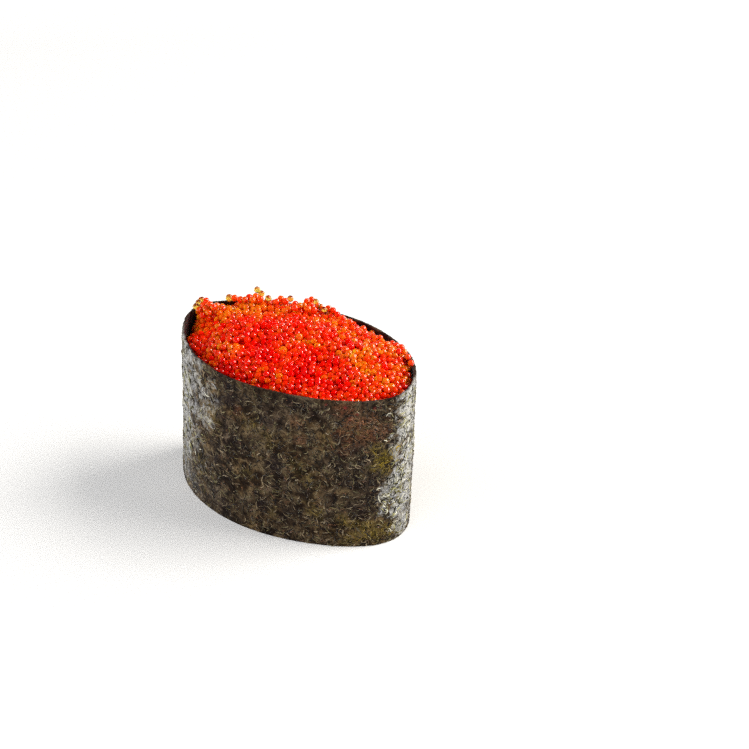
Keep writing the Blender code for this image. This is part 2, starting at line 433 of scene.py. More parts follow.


# Where the sheet differs from the rest: angle in degrees, height, reach and strength.
# The pale places near both ends of the band: partly a bloom on the sheet, partly painted sheen from the grazing light.
BLOOM_AND_SHEEN = [
    (251, 26.0, 3.4, 0.62), (239, 22.5, 4.6, 0.90), (264, 25.0, 2.4, 0.36), (260, 20.8, 3.0, 0.42), (239, 16.5, 4.0, 0.82), (251, 13.5, 3.0, 0.40), (236, 10.0, 3.8, 0.68),
    (234, 4.5, 3.4, 0.50), (266, 28.5, 1.8, 0.30), (228, 22.0, 5.0, 0.70), (378, 28.5, 3.0, 1.08), (378, 24.5, 3.0, 1.10), (383, 18.2, 3.8, 1.08), (367, 20.0, 1.8, 0.60),
    (379, 14.5, 3.2, 1.08), (365, 13.0, 2.2, 0.80), (379, 9.5, 3.2, 1.05), (359, 11.0, 2.0, 0.65), (370, 7.0, 2.4, 0.85), (374, 3.2, 2.6, 0.80), (356, 7.6, 1.4, 0.5), (351, 10.2, 1.0, 0.4),
    (386, 24.0, 4.0, 0.75), (396, 27.0, 3.5, 0.42), (395, 20.0, 3.5, 0.45), (392, 13.0, 3.5, 0.48), (389, 6.0, 3.5, 0.45), (405, 23.0, 4.0, 0.26), (402, 14.0, 4.0, 0.30),
    (399, 6.0, 4.0, 0.24), (238, 31.0, 4.0, 0.80), (247, 31.2, 2.6, 0.62), (256, 31.4, 1.8, 0.42), (227, 31.0, 4.0, 0.55), (378, 31.6, 2.8, 0.95), (388, 31.0, 3.4, 0.70),
    (371, 31.2, 1.6, 0.70), (248, 6.0, 5.0, 0.20), (262, 8.0, 4.0, 0.15), (216, 25.0, 5.0, 0.46), (219, 14.0, 5.0, 0.44), (221, 6.0, 4.0, 0.36), (205, 20.0, 5.0, 0.28),
]
RUST = [
    (331, 30.0, 2.2, 0.7), (334, 27.5, 2.2, 0.8), (341, 28.0, 2.0, 0.7), (330, 25.0, 1.6, 0.6), (346, 25.0, 1.8, 0.7), (339, 23.5, 1.6, 0.6), (332, 22.0, 1.4, 0.5),
    (354, 25.5, 1.8, 0.6), (281, 25.8, 1.0, 0.6), (308, 26.5, 1.2, 0.6), (310, 22.8, 1.0, 0.6), (60, 20.0, 5.0, 0.5), (120, 9.0, 4.0, 0.4),
]
OLIVE = [
    (356, 19.3, 1.5, 0.9), (352, 18.2, 1.1, 1.0), (348.5, 17.8, 0.9, 0.9), (358, 19.0, 0.9, 1.0), (363, 19.8, 0.8, 1.0), (367, 20.5, 0.8, 1.0), (357, 16.5, 1.0, 0.7),
    (350, 21.5, 1.2, 0.5), (344, 3.8, 1.8, 0.48), (350, 2.2, 1.8, 0.55),
    (338, 2.2, 1.8, 0.48), (358, 3.0, 1.6, 0.5), (331, 6.0, 1.4, 0.4), (335, 5.0, 1.2, 0.4), (318, 7.5, 1.4, 0.4), (295, 22.0, 2.2, 0.20), (288, 23.0, 2.0, 0.18),
    (265, 22.0, 2.4, 0.25), (80, 12.0, 4.0, 0.5), (150, 20.0, 4.0, 0.4), (200, 9.0, 4.0, 0.4),
]
# Nearly black patches; the three broad, faint ones low on the front are painted shade near the foot.
SOOT_AND_SHADE = [
    (296, 25.0, 1.3, 0.8), (277, 27.5, 1.6, 0.8), (276, 30.0, 1.0, 0.8), (299, 16.0, 1.6, 0.8), (268, 13.0, 1.2, 0.7), (327, 24.2, 0.9, 0.8), (315, 24.8, 0.9, 0.6),
    (305, 5.0, 3.2, 0.35), (322, 9.0, 3.0, 0.35), (288, 3.5, 2.4, 0.30), (336, 22.0, 1.2, 0.7), (306, 31.0, 1.6, 0.6), (334, 15.5, 1.8, 0.7), (346, 15.0, 1.6, 0.7), (311, 11.8, 1.4, 0.6), (294, 6.5, 1.8, 0.6), (357, 13.0, 1.4, 0.6),
    (340, 8.5, 1.8, 0.5), (347, 11.0, 1.4, 0.5), (270.5, 22.5, 0.9, 0.8), (271.5, 26.0, 0.8, 0.9), (30, 12.0, 2.0, 0.6), (95, 22.0, 2.0, 0.6), (175, 14.0, 2.2, 0.6), (215, 25.0, 2.0, 0.6),
]


# Where the roe has stained the sheet red.
STAIN = [(330.5, 30.8, 0.30, 0.7), (333.5, 28.4, 0.30, 0.6), (347, 30.5, 0.35, 0.6), (351, 30.8, 0.30, 0.7), (321.5, 31.2, 0.25, 0.5), (337, 29.5, 0.25, 0.5), (60, 30.5, 0.4, 0.5)]


def patches(points, table, seed):
    """How strongly each point lies in the table's patches, whose edges are ragged."""
    ragged = Field(seed)(points, 1.4) * 0.30 + Field(seed + 1)(points, 0.6) * 0.30
    total = np.zeros(points.shape[:-1])
    for degrees, z, reach, strength in table:
        t = np.array([math.radians(degrees)])
        centre = np.append((oval(t) + middle(np.array([z])))[0], z)
        away = np.linalg.norm(points - centre, axis=-1) / reach
        total = np.maximum(total, strength * smooth((1.65 - away + ragged) / 1.3))
    return total


def build_nori():
    columns, rows, rows_in = 540, 116, 14
    t = LAP_FROM + (2 * math.pi + LAP) * np.arange(columns + 1) / columns

    def side(inset, shares, sign):
        share = np.asarray(shares)[:, None]
        z = BAND_HEIGHT * share + np.where(share > 0.999, RIM_WAVE * np.sin(3 * t + 0.6) * np.sin(t), 0.0)
        wave = WALL_WAVE * np.sin(5 * t + 2.2 * share) * np.sin(math.pi * share) + tuck(t) * (1 - share) ** 2
        depth = step_in(t) + inset + wave
        flat = oval(t) - outward(t) * depth[..., None] + middle(z)
        p = np.concatenate([flat, z[..., None]], -1)
        calm = np.clip(np.minimum(share, 1.0) / 0.02, 0, 1) * np.ones_like(z)
        lapped = np.where((t > LAP_FROM + 2 * math.pi - 0.1) | (t < LAP_FROM + LAP + 0.05), 0.35, 1.0)
        out = relief(p) * calm * (lapped if sign < 0 else np.where(t < LAP_FROM + LAP + 0.05, 0.2, 1.0))
        p[..., :2] += outward(t) * out[..., None]
        return p

    outer = side(0.0, np.arange(rows + 1) / rows, 1)
    inner = side(NORI, 1 - (1 - np.arange(rows_in + 1) / rows_in) ** 1.5, -1)
    n_out = outer.shape[0] * outer.shape[1]
    points = np.concatenate([outer.reshape(-1, 3), inner.reshape(-1, 3)])

    def sheet(first, count_rows, flip):
        i = np.arange(columns)[None, :]
        j = np.arange(count_rows)[:, None]
        a = first + j * (columns + 1) + i
        quad = np.stack([a, a + 1, a + columns + 2, a + columns + 1], -1).reshape(-1, 4)
        return quad[:, ::-1] if flip else quad

    i = np.arange(columns)
    top_out, top_in = rows * (columns + 1), n_out + rows_in * (columns + 1)
    rim = np.stack([top_out + i, top_out + i + 1, top_in + i + 1, top_in + i], -1)
    foot = np.stack([i + 1, i, n_out + i, n_out + i + 1], -1)
    quads = np.concatenate([sheet(0, rows, False), sheet(n_out, rows_in, True), rim, foot])
    # The strip's two cut ends, each closed by a fan of triangles between its two columns.
    ends = []
    for column, flip in ((0, False), (columns, True)):
        out_ids = [r * (columns + 1) + column for r in range(rows + 1)]
        in_ids = [n_out + r * (columns + 1) + column for r in range(rows_in + 1)]
        a, b = 0, 0
        while a < rows or b < rows_in:
            go = b == rows_in or (a < rows and points[out_ids[a + 1]][2] <= points[in_ids[b + 1]][2])
            tri = (out_ids[a], in_ids[b], out_ids[a + 1]) if go else (out_ids[a], in_ids[b], in_ids[b + 1])
            ends.append(tri[::-1] if not flip else tri)
            a, b = (a + 1, b) if go else (a, b + 1)
    ends = np.array(ends)
    triangles = np.concatenate([quads[:, [0, 1, 2]], quads[:, [0, 2, 3]], ends])
    obj = new_mesh("nori_sheet", points, triangles)
    obj.data.set_sharp_from_angle(angle=math.radians(50))
    within = np.zeros(len(points))
    within[n_out + columns + 1:] = 1.0
    within[-(columns + 1):] = 0.6
    give(obj, "inside", within)
    for name, table, seed in (("bloom_and_sheen", BLOOM_AND_SHEEN, 61), ("rust", RUST, 63), ("olive", OLIVE, 65), ("soot_and_shade", SOOT_AND_SHADE, 67), ("stain", STAIN, 69)):
        give(obj, name, patches(points, table, seed) * (1 - within))
    obj.data.materials.append(nori_material())
    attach(obj, "root")
    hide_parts("nori_band")
    return outer


def wall_point(t, z, lift):
    """A point at angle t and height z of the band's outer face, lifted off it."""
    share = z / BAND_HEIGHT
    wave = WALL_WAVE * np.sin(5 * t + 2.2 * share) * np.sin(math.pi * share) + tuck(t) * (1 - share) ** 2
    flat = oval(t) - outward(t) * (step_in(t) + wave)[..., None] + middle(z)
    p = np.concatenate([flat, z[..., None]], -1)
    p[..., :2] += outward(t) * (relief(p) + lift)[..., None]
    return p


def build_shreds(name, count, seed, length, width, height, raised, palette, steps=4, bending=1.5, pull_to_pale=0.0):
    """Slivers of seaweed pressed into the sheet: each a thin closed bead, widest in its middle.

    With a pull above 0 they crowd where the pale bloom and painted sheen are, and below 0 they keep out of them."""
    rng = np.random.default_rng(seed)
    start = rng.uniform(LAP_FROM + LAP + 0.02, LAP_FROM + 2 * math.pi + LAP - 0.03, 3 * count)
    z0 = rng.uniform(0.15, BAND_HEIGHT - 0.1, 3 * count)
    bloom_and_sheen = patches(wall_point(start, z0, np.zeros(3 * count)), BLOOM_AND_SHEEN, 61)
    # They are thickest, and broadest, low down at one end of the band.
    turn = (np.degrees(start) - 365 + 180) % 360 - 180
    crowd = np.exp(-((turn / 12) ** 2) - ((z0 - 10.5) / 6.5) ** 2) * (pull_to_pale > 0)
    chance = rng.random(3 * count) < np.clip(0.42 + pull_to_pale * (bloom_and_sheen - 0.3) + 0.58 * crowd, 0.05, 1)
    picked = np.nonzero(chance)[0][:count]
    start, z0, bloom_and_sheen, crowd, count = start[picked], z0[picked], bloom_and_sheen[picked], crowd[picked], len(picked)
    heading = rng.normal(0, 0.9, count) + np.where(rng.random(count) < 0.3, math.pi / 2, 0)
    bend = rng.normal(0, bending, count)
    long = length[0] + (length[1] - length[0]) * rng.random(count) ** 1.8
    wide = rng.uniform(*width, count) * (1 + 0.35 * crowd)
    tall = rng.uniform(*height, count)
    s = np.linspace(0, 1, steps + 1)[None, :]
    angle = heading[:, None] + bend[:, None] * (s - 0.5)
    ds = long[:, None] / steps
    speed = np.linalg.norm(oval(start + 1e-3) - oval(start - 1e-3), axis=1) / 2e-3
    u = np.cumsum(np.cos(angle), 1) * ds
    v = np.cumsum(np.sin(angle), 1) * ds
    u, v = u - u.mean(1, keepdims=True), v - v.mean(1, keepdims=True)
    profile = np.sin(math.pi * np.clip(s * 0.94 + 0.03, 0, 1)) ** 0.7
    end_lift = raised * rng.random(count)[:, None] ** 4 * np.where(rng.random(count)[:, None] < 0.5, s, 1 - s) ** 2
    across = np.stack([-np.sin(angle), np.cos(angle)], -1)
    points = []
    for side, up in ((-1, -0.035), (0, 1), (1, -0.035)):
        du = u + side * 0.5 * wide[:, None] * profile * across[..., 0]
        dv = v + side * 0.5 * wide[:, None] * profile * across[..., 1]
        t = np.clip(start[:, None] + du / speed[:, None], LAP_FROM + LAP + 0.004, LAP_FROM + 2 * math.pi + LAP - 0.004)
        z = np.clip(z0[:, None] + dv, 0.03, BAND_HEIGHT - 0.03)
        lift = (tall[:, None] * profile if side == 0 else np.full_like(t, up)) + end_lift
        points.append(wall_point(t, z, lift))
    points = np.stack(points, 2)  # count, steps + 1, 3, 3
    per = (steps + 1) * 3
    faces = []
    for k in range(steps):
        for c in range(3):
            a, b = k * 3 + c, k * 3 + (c + 1) % 3
            faces += [(a, b, b + 3), (a, b + 3, a + 3)]
    faces += [(0, 2, 1), (steps * 3, steps * 3 + 1, steps * 3 + 2)]
    faces = np.array(faces)[:, ::-1]
    all_faces = (np.arange(count)[:, None, None] * per + faces[None]).reshape(-1, 3)
    obj = new_mesh(name, points.reshape(-1, 3), all_faces)
    tints = np.array(palette)[rng.integers(0, len(palette), count)] * rng.uniform(0.6, 1.35, (count, 1))
    at = points[:, steps // 2, 1]
    if name == "nori_fibres":
        # The long ones: pale, grey, olive and nearly black in the bloom, whose pale colour is partly painted sheen,
        # palest at one end of the band.
        share = np.where(np.degrees(start) % 360 > 300, np.array([[0.38, 0.56, 0.70, 0.84]]).T, np.array([[0.06, 0.20, 0.34, 0.62]]).T).T
        kind = (rng.random((count, 1)) > share).sum(1)
        bloom_and_sheen_tints = np.array([(0.86, 0.83, 0.66), (0.40, 0.38, 0.18), (0.15, 0.125, 0.035), (0.42, 0.42, 0.43), (0.032, 0.027, 0.012)])[kind]
        bloom_and_sheen_tints = bloom_and_sheen_tints * rng.uniform(0.8, 1.15, (count, 1))
        tints = np.where((rng.random(count) < 1.5 * bloom_and_sheen)[:, None], bloom_and_sheen_tints, tints)
        for table, seed, colour in ((RUST, 63, (0.30, 0.120, 0.050)), (OLIVE, 65, (0.40, 0.270, 0.020)), (SOOT_AND_SHADE, 67, (0.030, 0.022, 0.018))):
            share = patches(at, table, seed)[:, None] * (rng.random((count, 1)) < 0.6)
            tints = tints * (1 - share) + np.array(colour) * rng.uniform(0.5, 1.3, (count, 1)) * share
    elif name != "nori_shreds_dark":
        # Elsewhere they take the sheet's patches, and in the bloom its pale grey, which is partly painted sheen.
        for table, seed, colour in ((RUST, 63, (0.23, 0.100, 0.052)), (OLIVE, 65, (0.31, 0.225, 0.030)), (SOOT_AND_SHADE, 67, (0.030, 0.022, 0.018)), (BLOOM_AND_SHEEN, 61, (0.55, 0.54, 0.48))):
            share = patches(at, table, seed)[:, None] * (0.8 if table is not BLOOM_AND_SHEEN else 0.9)
            tints = tints * (1 - share) + np.array(colour) * rng.uniform(0.6, 1.2, (count, 1)) * share
    give(obj, "tint", np.repeat(tints, per, 0))
    obj.data.materials.append(SHREDS)
    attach(obj, "root")
    return obj


# ---------------------------------------------------------------- the roe
# Where the eggs lie higher than the CAD's heap: place, reach and rise.
BANKS = [(17.1, 10.6, 3.2, 1.0), (13.9, 12.4, 3.2, 1.2), (10.3, 13.6, 3.2, 1.3), (6.3, 14.3, 3.2, 1.2), (2.0, 14.4, 2.8, 0.8)]


class Heap:
    """The height of the CAD heap's top, and the distance to its side, on a fine grid."""

    def __init__(self, node):
        mesh = node.data
        points = np.array([v.co for v in mesh.vertices]) / MM
        mesh.calc_loop_triangles()
        tris = [tuple(t.vertices) for t in mesh.loop_triangles]
        tree = BVHTree.FromPolygons([Vector(p) for p in points], tris)
        self.low, self.step = np.array([-27.0, -18.0]), 0.3
        nx, ny = int(54 / self.step) + 1, int(36 / self.step) + 1
        self.top = np.full((nx, ny), np.nan)
        for i in range(nx):
            for j in range(ny):
                hit = tree.ray_cast(Vector((self.low[0] + i * self.step, self.low[1] + j * self.step, 60.0)), Vector((0, 0, -1)))
                if hit[0] is not None:
                    self.top[i, j] = hit[0].z
        covered = ~np.isnan(self.top)
        self.top_min, self.top_max = np.nanmin(self.top), np.nanmax(self.top)
        # The outline is carried outwards, so that slopes near the wall are sound.
        top = self.top.copy()
        for _ in range(12):
            padded = np.pad(top, 1, constant_values=np.nan)
            around = np.stack([padded[a:a + nx, b:b + ny] for a in range(3) for b in range(3)])
            with np.errstate(all="ignore"):
                warnings.simplefilter("ignore")
                spread = np.nanmean(around, 0)
            top = np.where(np.isnan(top), spread, top)
        self.top = np.where(np.isnan(top), self.top_min, top)
        # Distance to the filling's side: to the outline's own points.
        tt = np.linspace(0, 2 * math.pi, 720, endpoint=False)
        level = 31.0
        turn = (tt - LAP_FROM) % (2 * math.pi) + LAP_FROM
        before = turn - LAP_FROM - 2 * math.pi
        step = np.maximum(step_in(turn), (NORI + LAP_AIR) * smooth(1 + (before + math.radians(3)) / math.radians(12)))
        self.rim = oval(tt) - outward(tt) * (NORI + 0.12 + tuck(tt) + step)[:, None] + middle(np.full(720, level))
        gx = self.low[0] + self.step * np.arange(nx)
        gy = self.low[1] + self.step * np.arange(ny)
        grid = np.stack(np.meshgrid(gx, gy, indexing="ij"), -1)
        d = np.linalg.norm(grid[:, :, None, :] - self.rim[None, None, ::2], axis=-1).min(-1)
        inside = np.zeros((nx, ny), bool)
        rx, ry = self.rim[:, 0], self.rim[:, 1]
        for k in range(720):
            x0, y0, x1, y1 = rx[k], ry[k], rx[(k + 1) % 720], ry[(k + 1) % 720]
            if y0 == y1:
                continue
            crossing = ((grid[..., 1] > min(y0, y1)) & (grid[..., 1] <= max(y0, y1)) & (grid[..., 0] < x0 + (grid[..., 1] - y0) * (x1 - x0) / (y1 - y0)))
            inside ^= crossing
        self.wall = np.where(inside, d, -d)
        # The eggs are banked up against the wall on the right of the far side.
        bank = np.zeros((nx, ny))
        for x, y, reach, rise in BANKS:
            bank = np.maximum(bank, rise * np.exp(-(((grid[..., 0] - x) ** 2 + (grid[..., 1] - y) ** 2) / reach**2)))
        self.top = self.top + bank
        self.top_slope = np.stack(np.gradient(self.top, self.step), -1)
        self.wall_slope = np.stack(np.gradient(self.wall, self.step), -1)

    def read(self, grid, xy):
        q = (np.asarray(xy) - self.low) / self.step
        q = np.clip(q, 0, np.array(grid.shape[:2]) - 1.001)
        i = np.floor(q).astype(int)
        f = q - i
        if grid.ndim == 3:
            f = f[..., None, :]
        a, b = i[..., 0], i[..., 1]
        fx, fy = f[..., 0], f[..., 1]
        return (grid[a, b] * (1 - fx) * (1 - fy) + grid[a + 1, b] * fx * (1 - fy) + grid[a, b + 1] * (1 - fx) * fy + grid[a + 1, b + 1] * fx * fy)


def pack_eggs(heap, seed, radius, spread, depth, share, fixed):
    """Centres and radii of eggs that fill the heap's outer skin, pushed apart until they only touch.

    The fixed eggs lie on the heap and on the band's edge, and the others make way for them."""
    rng = np.random.default_rng(seed)
    low, high = np.array([-26.0, -17.0]), np.array([26.5, 17.0])
    area = (heap.wall > 0).sum() * heap.step**2
    count = int(area * depth * share / (4 / 3 * math.pi * radius**3))
    xy = rng.uniform(low, high, (count * 3, 2))
    xy = xy[heap.read(heap.wall, xy) > 0.5][:count]
    count = len(xy)
    r = np.clip(rng.normal(radius, spread, count), radius - 2.2 * spread, radius + 2.6 * spread)
    z = heap.read(heap.top, xy) - r - rng.random(count) * (depth - 2 * radius)
    p = np.concatenate([np.concatenate([xy, z[:, None]], 1), fixed[:, :3]])
    r = np.concatenate([r, fixed[:, 3]])
    loose = np.arange(len(p)) < count
    total = len(p)
    # Some stand a little proud of the heap's surface, and some lie in dips of it.
    stand = (0.30 - 0.85 * rng.random(total) ** 2) * radius
    reach = 2 * (radius + 2.6 * spread) + 0.25
    for turn in range(170):
        if turn % 6 == 0:
            order = np.argsort(p[:, 0])
            stop = np.searchsorted(p[order, 0], p[order, 0] + reach)
            left, right_ = [], []
            for k in range(total):
                others = np.arange(k + 1, stop[k])
                near = others[np.abs(p[order[others], 1] - p[order[k], 1]) < reach]
                near = near[np.abs(p[order[near], 2] - p[order[k], 2]) < reach]
                left.append(np.full(len(near), order[k]))
                right_.append(order[near])
            left, right_ = np.concatenate(left), np.concatenate(right_)
        apart = p[left] - p[right_]
        distance = np.linalg.norm(apart, axis=1) + 1e-9
        bite = np.maximum(0.0, (r[left] + r[right_]) * 0.985 - distance)
        push = apart / distance[:, None] * (0.46 * bite)[:, None]
        move = np.zeros_like(p)
        for axis in range(3):
            move[:, axis] = np.bincount(left, push[:, axis], total) - np.bincount(right_, push[:, axis], total)
        lengths = np.linalg.norm(move, axis=1, keepdims=True)
        p[loose] += (move * np.minimum(1.0, 0.35 / np.maximum(lengths, 1e-9)))[loose]
        # Held to the heap's surface, square to its slope, and clear of the wall.
        slope = heap.read(heap.top_slope, p[:, :2])
        steep = np.sqrt(1 + (slope**2).sum(1))
        over = np.maximum(0.0, (p[:, 2] - heap.read(heap.top, p[:, :2])) / steep + r - stand)
        normal = np.concatenate([-slope, np.ones((total, 1))], 1) / steep[:, None]
        p[loose] -= (normal * over[:, None])[loose]
        wall = heap.read(heap.wall, p[:, :2])
        inward = heap.read(heap.wall_slope, p[:, :2])
        inward /= np.linalg.norm(inward, axis=1, keepdims=True) + 1e-9
        p[loose, :2] += (inward * np.maximum(0, r + 0.03 - wall)[:, None])[loose]
        floor = heap.read(heap.top, p[:, :2]) - depth + r
        p[loose, 2] = np.maximum(p[:, 2], floor)[loose] + 0.012
    return p[loose], r[loose]


# Painted light and shade: where the heap stands up, the light in it is painted orange, and its dips a shaded deep red:
# place, reach and strength of each patch.
PATCHES = [
    (-8.0, -7.6, 1.6, 0.7), (1.1, -4.0, 1.6, 0.7), (0.3, -1.0, 1.6, 0.7), (1.2, 1.7, 1.8, 0.8), (4.5, 1.6, 1.6, 0.5), (10.8, -10.5, 1.4, 0.3),
    (5.0, -9.8, 1.4, 0.45), (11.4, 2.7, 2.0, 0.8), (14.2, 0.1, 1.6, 0.5), (17.1, 0.6, 1.6, 0.7), (13.7, 7.3, 1.6, 0.6), (16.6, 10.6, 1.8, 0.9),
    (20.0, 8.7, 1.4, 0.9), (21.7, -0.1, 1.4, 0.6), (21.4, 3.8, 1.4, 0.6), (5.3, 10.2, 2.2, 0.6), (0.8, 10.4, 1.8, 0.5), (-2.0, 8.0, 1.8, 0.5),
    (-18.4, 3.2, 1.8, 0.7), (-15.0, 6.2, 1.6, 0.6), (17.2, -2.7, 1.2, 0.4), (12.4, 11.6, 1.4, 0.6), (-9.0, 6.5, 1.4, 0.3), (-14.3, -4.4, 1.8, 0.2),
    (-22.3, 0.1, 1.6, 0.6), (-4.3, -3.5, 1.8, -0.9), (-0.6, -7.5, 1.8, -0.9), (-8.3, 2.1, 1.4, -0.6), (7.1, -6.8, 2.2, -1.0), (10.2, -1.3, 1.8, -0.7),
    (11.7, -7.2, 1.6, -0.8), (15.1, -4.9, 1.8, -0.8), (20.0, -3.7, 1.2, -0.7), (-6.0, -12.8, 1.8, -0.9), (-1.0, -13.9, 1.8, -0.9), (-19.7, -1.2, 1.2, -0.6),
    (-11.7, -1.9, 1.2, -0.3), (-5.6, -6.6, 1.2, -0.4), (18.8, 3.9, 1.2, -0.4), (8.3, 5.0, 1.2, -0.3), (-3.0, 4.1, 1.0, -0.3), (-15.0, -10.0, 1.8, -0.4),
    (23.9, -1.8, 1.6, -0.8), (6.5, -2.6, 1.4, -0.5), (3.7, -14.3, 1.8, -0.3), (-17.8, -9.7, 1.2, -0.6),
]


def warmth(p, rng, jitter=0.16):
    u, v = 0.784 * p[:, 0] + 0.621 * p[:, 1], 0.647 * p[:, 0] - 0.762 * p[:, 1]
    value = 0.53 + 0.14 * Field(31)(p, 2.6) + 0.13 * smooth((u - 6) / 8)
    value = value + 0.09 * smooth((-u - 6) / 8) * smooth((9 - v) / 8) + 0.31 * smooth((-v - 7) / 6)
    for x, y, reach, strength in PATCHES:
        value = value + 0.66 * strength * np.exp(-((p[:, 0] - x) ** 2 + (p[:, 1] - y) ** 2) / reach**2)
    return np.clip(value + rng.normal(0, jitter, len(p)), 0, 1)


# The way the light goes on through an egg; its glow at the far side is painted.
PAINTED_GLOW_DIRECTION = np.array([-0.72, -0.42, -0.15])


def painted_shade_at(p, wall):
    """How much of the eggs' colour is kept at a place: painted shade along the near rim on the left, under the rim at
    the right end and over the left end, and a little darker towards the right and the far side.
    """
    u, v = 0.784 * p[:, 0] + 0.621 * p[:, 1], 0.647 * p[:, 0] - 0.762 * p[:, 1]
    rim = smooth((5.5 - wall) / 4.5) * smooth((v + 3) / 6) * smooth((4 - u) / 8)
    end = smooth((3.5 - wall) / 3.0) * smooth((v + 1) / 4) * smooth((u - 13) / 4)
    left = smooth((-u - 8) / 8) * smooth((v + 9) / 6)
    bright = np.maximum(smooth((u - 2) / 8), smooth((-v - 4) / 6))
    return (1 - np.maximum(np.maximum(0.36 * rim, 0.36 * end), 0.24 * left)) * (1 - 0.07 * bright)


def egg_mesh(name, centres, radii, warm, shape, seed, material, clear=False, painted_shade=None):
    """Eggs as one mesh. Each has a painted glow, paler on the side away from the light, as if the light gathered there
    inside the egg.
    """
    rng = np.random.default_rng(seed)
    v, f = shape
    n = len(centres)
    painted_shade = np.ones(n) if painted_shade is None else painted_shade
    scale = radii[:, None] * (1 + rng.normal(0, 0.035, (n, 3)))
    rotation = turns(rng, n)
    round_ = np.einsum("nij,nvj->nvi", rotation, v[None] * scale[:, None, :])
    points = round_ + centres[:, None, :]
    faces = (np.arange(n)[:, None, None] * len(v) + f[None]).reshape(-1, 3)
    obj = new_mesh(name, points.reshape(-1, 3), faces)
    painted_glow_direction = PAINTED_GLOW_DIRECTION + rng.normal(0, 0.28, (n, 3))
    painted_glow_direction /= np.linalg.norm(painted_glow_direction, axis=1, keepdims=True)
    facing = np.einsum("nvi,ni->nv", round_, painted_glow_direction) / radii[:, None]
    w = warm[:, None, None]
    # Painted glow: each egg is paler on the side away from the light.
    painted_glow = smooth((facing - 0.35) / 0.5)[..., None] * (0.30 + 0.70 * w)
    if clear:
        # A painted refraction on top of their real one: dark at the top, as if the heap were seen upside down in them,
        # and the light ground below.
        amber = np.array([0.98, 0.42, 0.030]) * (1 - w) + np.array([1.0, 0.76, 0.13]) * w
        high = smooth((round_[..., 2] / radii[:, None] - 0.25) / 0.6)[..., None]
        tints = amber + (np.array([0.42, 0.035, 0.008]) - amber) * high * 0.9
    else:
        deep = np.array([1.0, 0.0013, 0.0004]) ** (1 - w) * np.array([1.0, 0.155, 0.0040]) ** w
        painted_glow_tint = np.array([1.0, 0.0220, 0.0010]) ** (1 - w) * np.array([1.0, 0.38, 0.0110]) ** w
        tints = deep + (painted_glow_tint - deep) * painted_glow
        tints[..., 0] *= 0.965 * 0.80 ** ((1 - w[..., 0]) ** 2) * rng.uniform(0.92, 1.0, (n, 1))
        # Painted shade along the near rim on the left, under the rim at the right end and over the left end.
        tints = tints * painted_shade[:, None, None]
    give(obj, "tint", tints.reshape(-1, 3))
    dull = rng.uniform(0.10, 0.20, n)
    give(obj, "dull", np.repeat(dull, len(v)))
    obj.data.materials.append(material)
    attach(obj, "root")
    return obj


# Loose eggs on the heap's far edge and on the band's rim, each resting where it lies: place and radius.
LOOSE = np.array([
    (-23.91, 0.61, 34.03, 0.68), (-22.97, 0.89, 34.09, 0.64), (-24.27, -0.61, 33.02, 0.70), (-24.11, -0.06, 33.63, 0.64), (-22.71, -0.18, 33.64, 0.66),
    (-21.21, 0.01, 34.21, 0.66), (-21.71, -0.62, 33.45, 0.66), (-23.21, -1.00, 32.76, 0.68), (-21.66, -1.74, 32.41, 0.66), (-20.15, -0.16, 34.13, 0.62),
    (-20.62, -1.13, 33.17, 0.64), (-21.74, 6.26, 32.76, 0.76), (-20.38, 6.26, 33.21, 0.70), (-18.62, 6.00, 33.59, 0.68), (-17.61, 6.24, 33.83, 0.64),
    (-17.34, 7.18, 34.05, 0.68), (-15.84, 6.46, 34.26, 0.64), (-17.42, 9.63, 34.60, 0.66), (-16.52, 9.81, 33.95, 0.64), (-16.48, 8.09, 34.13, 0.68),
    (-14.84, 7.50, 34.37, 0.68), (-14.05, 9.02, 34.16, 0.64), (-12.05, 10.37, 34.11, 0.66), (-11.83, 8.86, 34.25, 0.62), (-10.81, 11.78, 33.96, 0.66),
    (-10.70, 10.21, 34.18, 0.64), (-8.53, 10.51, 34.18, 0.62), (-7.28, 8.91, 34.40, 0.66), (-7.45, 10.67, 34.09, 0.62), (-7.27, 13.97, 34.05, 0.66),
    (-7.51, 12.86, 33.99, 0.64), (-6.44, 14.29, 33.70, 0.62), (-7.07, 11.41, 33.94, 0.62), (-6.40, 12.72, 33.73, 0.66), (-5.54, 13.69, 33.42, 0.62),
    (-5.51, 10.75, 33.98, 0.66), (-4.64, 11.50, 33.73, 0.64), (-5.03, 13.98, 33.25, 0.57), (-3.62, 14.70, 33.03, 0.66), (-3.75, 13.52, 33.24, 0.61),
    (-2.68, 14.90, 32.82, 0.62), (-0.91, 14.06, 32.89, 0.62), (0.83, 13.51, 33.00, 0.62), (5.30, 14.25, 31.82, 0.68), (14.45, 12.93, 31.97, 0.66),
    (16.05, 12.41, 32.44, 0.66), (16.89, 10.43, 32.78, 0.64), (17.43, 11.52, 32.34, 0.62), (12.90, 13.58, 31.68, 0.62), (19.14, 10.43, 32.43, 0.61),
    (21.02, 8.91, 32.52, 0.61), (3.12, 12.93, 33.14, 0.62), (6.86, 15.01, 31.02, 0.62), (10.85, 12.43, 32.66, 0.62),
])


# The ones that stand up clear of the rest, with light behind them.
CLEAR = [0, 2, 3, 11, 17, 18, 21, 24, 31, 39]


